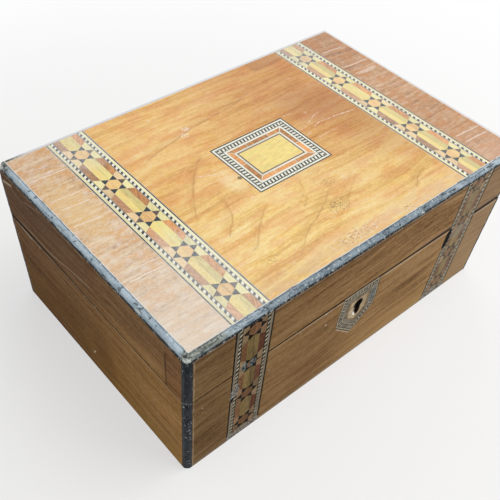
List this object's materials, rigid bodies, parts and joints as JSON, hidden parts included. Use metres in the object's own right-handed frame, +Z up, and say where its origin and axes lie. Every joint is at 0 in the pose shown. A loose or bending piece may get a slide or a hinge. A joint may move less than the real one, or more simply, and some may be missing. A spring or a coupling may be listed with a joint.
{
  "type": "wooden box",
  "caption": "Rectangular hinged box in walnut veneer with two inlaid parquetry bands, ebonised edging, a central cartouche, a shield escutcheon and a lock, with a lined open well.",
  "frame": {"origin": "middle of the bottom of the box's bounding box, hinges included, on the surface it stands on", "axes": "+X along the front from left to right, +Y from the front to the hinged back, +Z up"},
  "size_m": [0.305, 0.2092, 0.125],
  "materials": {
    "top_walnut": "waxed honey walnut veneer",
    "side_walnut": "waxed brown walnut veneer",
    "ebonised": "worn black polish",
    "parquetry": "waxed boxwood, tulipwood and ebony tesserae",
    "carcass_pine": "stained and waxed boards",
    "lining_paper": "dark red lining paper on card",
    "brass": "aged brass",
    "lock_steel": "dull iron"
  },
  "bodies": {
    "base": {"base_back_board": "carcass_pine", "base_corner_strip_back_left": "ebonised", "base_corner_strip_back_right": "ebonised", "base_corner_strip_front_left": "ebonised", "base_corner_strip_front_right": "ebonised", "base_front_band_left": "parquetry", "base_front_band_right": "parquetry", "base_front_board": "carcass_pine", "base_front_veneer_left": "side_walnut", "base_front_veneer_middle": "side_walnut", "base_front_veneer_right": "side_walnut", "base_left_board": "carcass_pine", "base_left_veneer": "side_walnut", "base_lining": "lining_paper", "base_right_board": "carcass_pine", "base_right_veneer": "side_walnut", "base_screws": "brass", "bottom_board": "carcass_pine", "escutcheon_inlay": "parquetry", "hinge_left_base_leaf": "brass", "hinge_left_pin": "brass", "hinge_right_base_leaf": "brass", "hinge_right_pin": "brass", "keyhole_bush": "brass", "lock_case": "lock_steel", "lock_plate": "brass"},
    "lid": {"lid_back_board": "carcass_pine", "lid_corner_strip_back_left": "ebonised", "lid_corner_strip_back_right": "ebonised", "lid_corner_strip_front_left": "ebonised", "lid_corner_strip_front_right": "ebonised", "lid_front_band_left": "parquetry", "lid_front_band_right": "parquetry", "lid_front_board": "carcass_pine", "lid_front_veneer_left": "side_walnut", "lid_front_veneer_middle": "side_walnut", "lid_front_veneer_right": "side_walnut", "lid_left_board": "carcass_pine", "lid_left_veneer": "side_walnut", "lid_lining": "lining_paper", "lid_right_board": "carcass_pine", "lid_right_veneer": "side_walnut", "lid_screws": "brass", "lid_top_board": "carcass_pine", "top_band_left": "parquetry", "top_band_right": "parquetry", "top_edging_back": "ebonised", "top_edging_front": "ebonised", "top_edging_left": "ebonised", "top_edging_right": "ebonised", "top_veneer_left": "top_walnut", "top_veneer_middle": "top_walnut", "top_veneer_right": "top_walnut", "cartouche": "parquetry", "link_plate": "brass", "hinge_left_lid_leaf": "brass", "hinge_right_lid_leaf": "brass"},
    "bolt": {"lock_bolt": "brass", "bolt_spring": "lock_steel"}
  },
  "joints": [
    {"name": "lid_hinge", "type": "hinge", "parent": "base", "child": "lid", "pos_m": [0, 0.09996, 0.08165], "axis": [-1, 0, 0], "range_deg": [0, 95]},
    {"name": "bolt_slide", "type": "slide", "parent": "base", "child": "bolt", "axis": [1, 0, 0], "range_m": [0, 0.005]}
  ]
}
